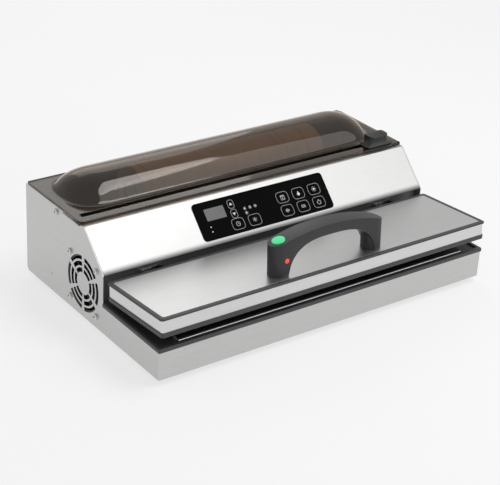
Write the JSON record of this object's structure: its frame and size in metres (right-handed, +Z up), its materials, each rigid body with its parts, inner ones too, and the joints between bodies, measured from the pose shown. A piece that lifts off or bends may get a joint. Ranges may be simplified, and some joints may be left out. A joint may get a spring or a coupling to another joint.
{
  "type": "vacuum sealer",
  "caption": "Countertop vacuum sealer with a steel case, hinged sealing lid with arched handle, sloped control panel and a smoked roll cover with a sliding cutter.",
  "frame": {"origin": "on the ground under the middle of the object", "axes": "+X to the right seen from the front, +Y to the back, +Z up"},
  "size_m": [0.4956, 0.3113, 0.1566],
  "materials": {
    "case_steel": "brushed",
    "lid_steel": "brushed",
    "dark_sheet": "matte",
    "dark_plastic": "satin",
    "black_plastic": "satin",
    "panel_black": "gloss",
    "display": "gloss",
    "smoked": "gloss",
    "film": "satin",
    "card": "matte",
    "green_button": "gloss",
    "red_lens": "gloss",
    "gasket_foam": "matte",
    "silicone": "matte",
    "bar_aluminium": "satin",
    "nonstick": "satin",
    "hardware": "polished",
    "brass": "satin",
    "board_green": "satin",
    "pump_grey": "satin",
    "core_iron": "matte",
    "coil_tape": "matte"
  },
  "bodies": {
    "housing": {"main_case": "case_steel", "rear_panel": "case_steel", "control_fascia": "case_steel", "hinge_wall": "dark_sheet", "chamber_tray": "dark_plastic", "roll_trough": "black_plastic", "fan_frame": "black_plastic", "power_inlet": "black_plastic", "control_panel": "panel_black", "display_window": "display", "chamber_gasket": "gasket_foam", "suction_hose": "gasket_foam", "pump_mounts": "gasket_foam", "feet": "gasket_foam", "seal_bar": "bar_aluminium", "pump_motor": "bar_aluminium", "nonstick_strip": "nonstick", "hinge_brackets": "hardware", "hinge_pins": "hardware", "lid_springs": "hardware", "cover_hinge_rod": "hardware", "heating_band": "hardware", "fan_screws": "hardware", "trough_screws": "hardware", "foot_screws": "hardware", "inlet_screws": "hardware", "inlet_pins": "brass", "suction_port": "brass", "board_posts": "brass", "control_board": "board_green", "power_board": "board_green", "vacuum_pump": "pump_grey", "release_valve": "pump_grey", "transformer_core": "core_iron", "transformer_coil": "coil_tape"},
    "lid": {"lid_plate": "lid_steel", "lid_frame": "dark_plastic", "lid_band": "lid_steel", "lid_shell": "dark_plastic", "lid_gasket": "gasket_foam", "press_strip": "silicone", "hinge_arms": "hardware", "handle": "dark_plastic", "handle_screws": "hardware", "seal_lamp": "red_lens", "start_switch": "pump_grey"},
    "start_button": {"start_button": "green_button"},
    "roll_cover": {"roll_cover": "smoked", "cutter_rail": "black_plastic"},
    "cutter": {"cutter_knob": "black_plastic", "cutter_blade": "hardware"},
    "fan_rotor": {"fan_rotor": "black_plastic"},
    "bag_roll": {"film_roll": "film", "roll_core": "card"}
  },
  "joints": [
    {"name": "lid_hinge", "type": "hinge", "parent": "housing", "child": "lid", "pos_m": [0, -0.0319, 0.068], "axis": [-1, 0, 0], "range_deg": [-3.8, 40], "stiffness_Nm_per_rad": 1.6, "springref_deg": 28.65},
    {"name": "start_button_press", "type": "slide", "parent": "lid", "child": "start_button", "axis": [0.2562, -0.0641, -0.9645], "range_m": [0, 0.0015], "stiffness_N_per_m": 600},
    {"name": "cover_hinge", "type": "hinge", "parent": "housing", "child": "roll_cover", "pos_m": [0, 0.149, 0.128], "axis": [-1, 0, 0], "range_deg": [0, 90]},
    {"name": "cutter_slide", "type": "slide", "parent": "roll_cover", "child": "cutter", "axis": [-1, 0, 0], "range_m": [0, 0.43]},
    {"name": "fan_spin", "type": "hinge", "parent": "housing", "child": "fan_rotor", "pos_m": [-0.236, 0.014, 0.0528], "axis": [1, 0, 0], "continuous": true},
    {"name": "roll_spin", "type": "hinge", "parent": "housing", "child": "bag_roll", "pos_m": [0.009, 0.094, 0.112], "axis": [1, 0, 0], "continuous": true}
  ]
}
